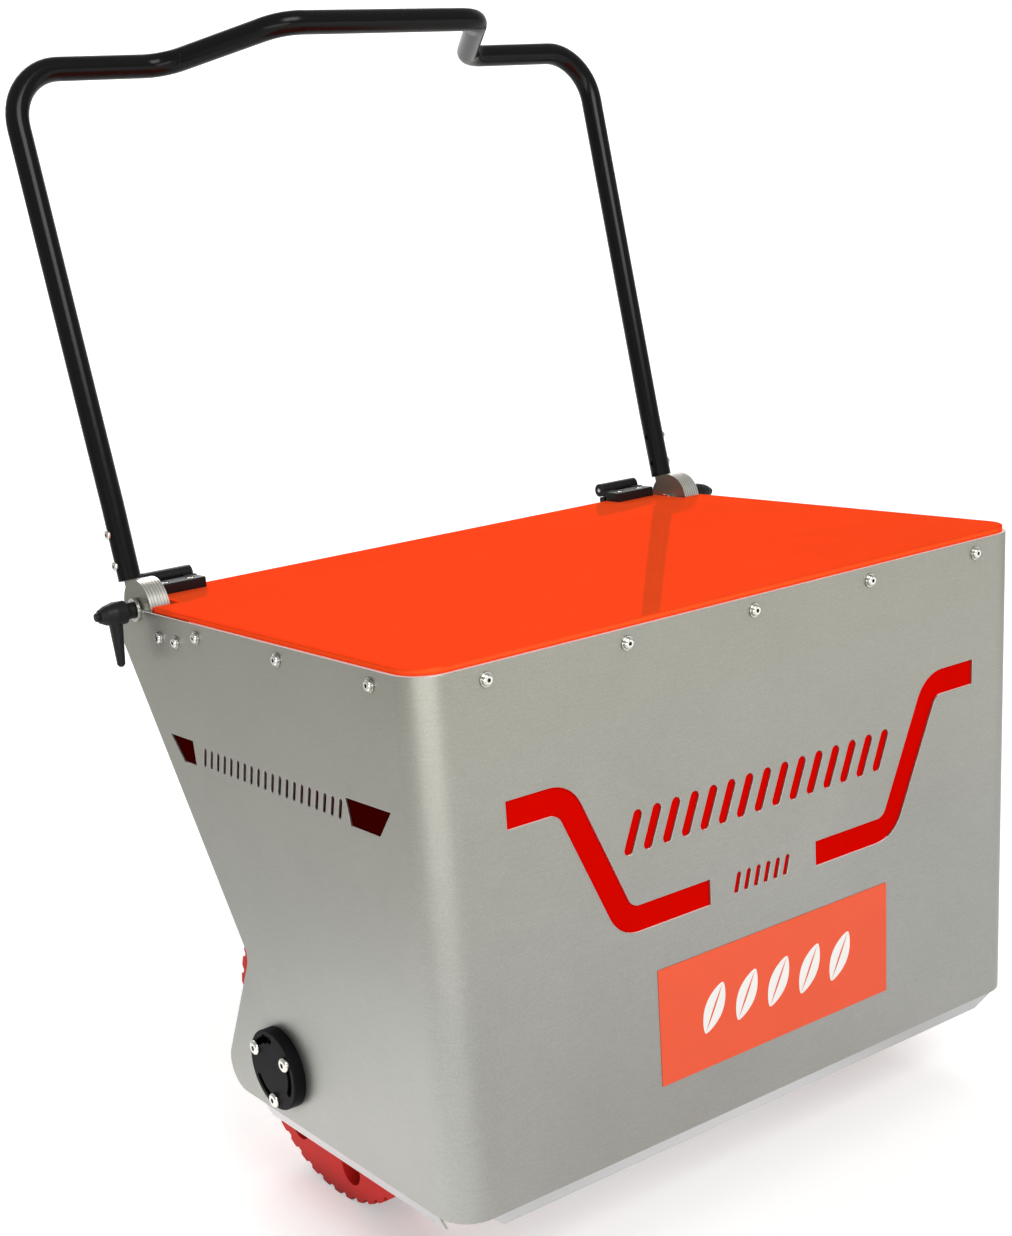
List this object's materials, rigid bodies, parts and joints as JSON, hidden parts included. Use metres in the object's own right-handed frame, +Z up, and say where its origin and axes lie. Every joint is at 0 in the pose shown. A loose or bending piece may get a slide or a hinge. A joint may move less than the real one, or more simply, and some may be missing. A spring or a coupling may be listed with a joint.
{
  "type": "push seeder",
  "caption": "Push seeder: sheet-metal seed hopper on lugged wheels with a metering roller, hinged glossy lid and tilting cranked tube handle.",
  "frame": {"origin": "middle of the object's width and depth, on the ground under the wheels", "axes": "+Z up, -Y towards the front panel and the direction of travel, +X to the right seen from the handle's opposite side (front view)"},
  "size_m": [0.7852, 0.6036, 1.0809],
  "materials": {
    "sheet_metal": "satin, fine grain",
    "lid_acrylic": "high gloss",
    "red_window": "gloss",
    "sign_sheet": "matt film",
    "red_plastic": "moulded satin",
    "handle_paint": "gloss black powder coat",
    "black_plastic": "fine grain",
    "lip_rubber": "matt",
    "roller_plastic": "machined",
    "zinc_plate": "bright zinc plate",
    "bright_steel": "bright zinc plate"
  },
  "bodies": {
    "frame": {"bracket_nuts": "bright_steel", "bracket_screws": "bright_steel", "clamp_bolts": "bright_steel", "disc_nuts": "bright_steel", "disc_screws": "bright_steel", "front_lip": "lip_rubber", "front_window": "red_window", "hinge_base_nuts": "bright_steel", "hinge_base_screws": "bright_steel", "hinge_pins": "bright_steel", "hopper_slope": "sheet_metal", "left_cheeks": "zinc_plate", "left_clamp_plate": "zinc_plate", "left_end_plate": "sheet_metal", "left_hinge_base": "black_plastic", "left_spacer_plate": "zinc_plate", "left_wheel_arch": "sheet_metal", "left_window": "red_window", "outer_shell": "sheet_metal", "pivot_washers": "zinc_plate", "rear_lip": "lip_rubber", "rear_wall": "sheet_metal", "right_cheeks": "zinc_plate", "right_clamp_plate": "zinc_plate", "right_end_plate": "sheet_metal", "right_hinge_base": "black_plastic", "right_spacer_plate": "zinc_plate", "right_wheel_arch": "sheet_metal", "right_window": "red_window", "rim_nuts": "bright_steel", "rim_screws": "bright_steel", "rim_strip": "sheet_metal", "sign_plate": "sign_sheet"},
    "lid": {"lid": "lid_acrylic", "left_hinge_leaf": "black_plastic", "right_hinge_leaf": "black_plastic", "hinge_leaf_screws": "bright_steel", "hinge_leaf_nuts": "bright_steel"},
    "handle": {"handle_tube": "handle_paint", "left_tongue": "zinc_plate", "right_tongue": "zinc_plate", "handle_screws": "bright_steel"},
    "left_lever": {"left_clamp_lever": "black_plastic", "left_lever_button": "black_plastic"},
    "right_lever": {"right_clamp_lever": "black_plastic", "right_lever_button": "black_plastic"},
    "left_bearing": {"left_disc": "black_plastic", "left_bush": "roller_plastic"},
    "right_bearing": {"right_disc": "black_plastic", "right_bush": "roller_plastic"},
    "wheelset": {"axle": "bright_steel", "left_wheel": "red_plastic", "right_wheel": "red_plastic", "metering_roller": "roller_plastic", "axle_spacers": "bright_steel", "drive_pins": "bright_steel"}
  },
  "joints": [
    {"name": "lid_hinge", "type": "hinge", "parent": "frame", "child": "lid", "pos_m": [0, 0.205, 0.5765], "axis": [-1, 0, 0], "range_deg": [0, 75]},
    {"name": "handle_tilt", "type": "hinge", "parent": "frame", "child": "handle", "pos_m": [0, 0.1585, 0.56], "axis": [-1, 0, 0], "range_deg": [-103, 30]},
    {"name": "left_lever_turn", "type": "hinge", "parent": "frame", "child": "left_lever", "pos_m": [0, 0.1585, 0.56], "axis": [-1, 0, 0], "range_deg": [-90, 90]},
    {"name": "right_lever_turn", "type": "hinge", "parent": "frame", "child": "right_lever", "pos_m": [0, 0.1585, 0.56], "axis": [-1, 0, 0], "range_deg": [-90, 90]},
    {"name": "left_disc_turn", "type": "hinge", "parent": "frame", "child": "left_bearing", "pos_m": [0, -0.0265, 0.15], "axis": [-1, 0, 0], "range_deg": [0, 55]},
    {"name": "right_disc_turn", "type": "hinge", "parent": "frame", "child": "right_bearing", "pos_m": [0, -0.0265, 0.15], "axis": [-1, 0, 0], "range_deg": [0, 55]},
    {"name": "wheel_spin", "type": "hinge", "parent": "left_bearing", "child": "wheelset", "pos_m": [0, -0.0265, 0.15], "axis": [1, 0, 0], "continuous": true}
  ],
  "couplings": [
    {"joint": "right_disc_turn", "follows": "left_disc_turn", "ratio": 1}
  ]
}
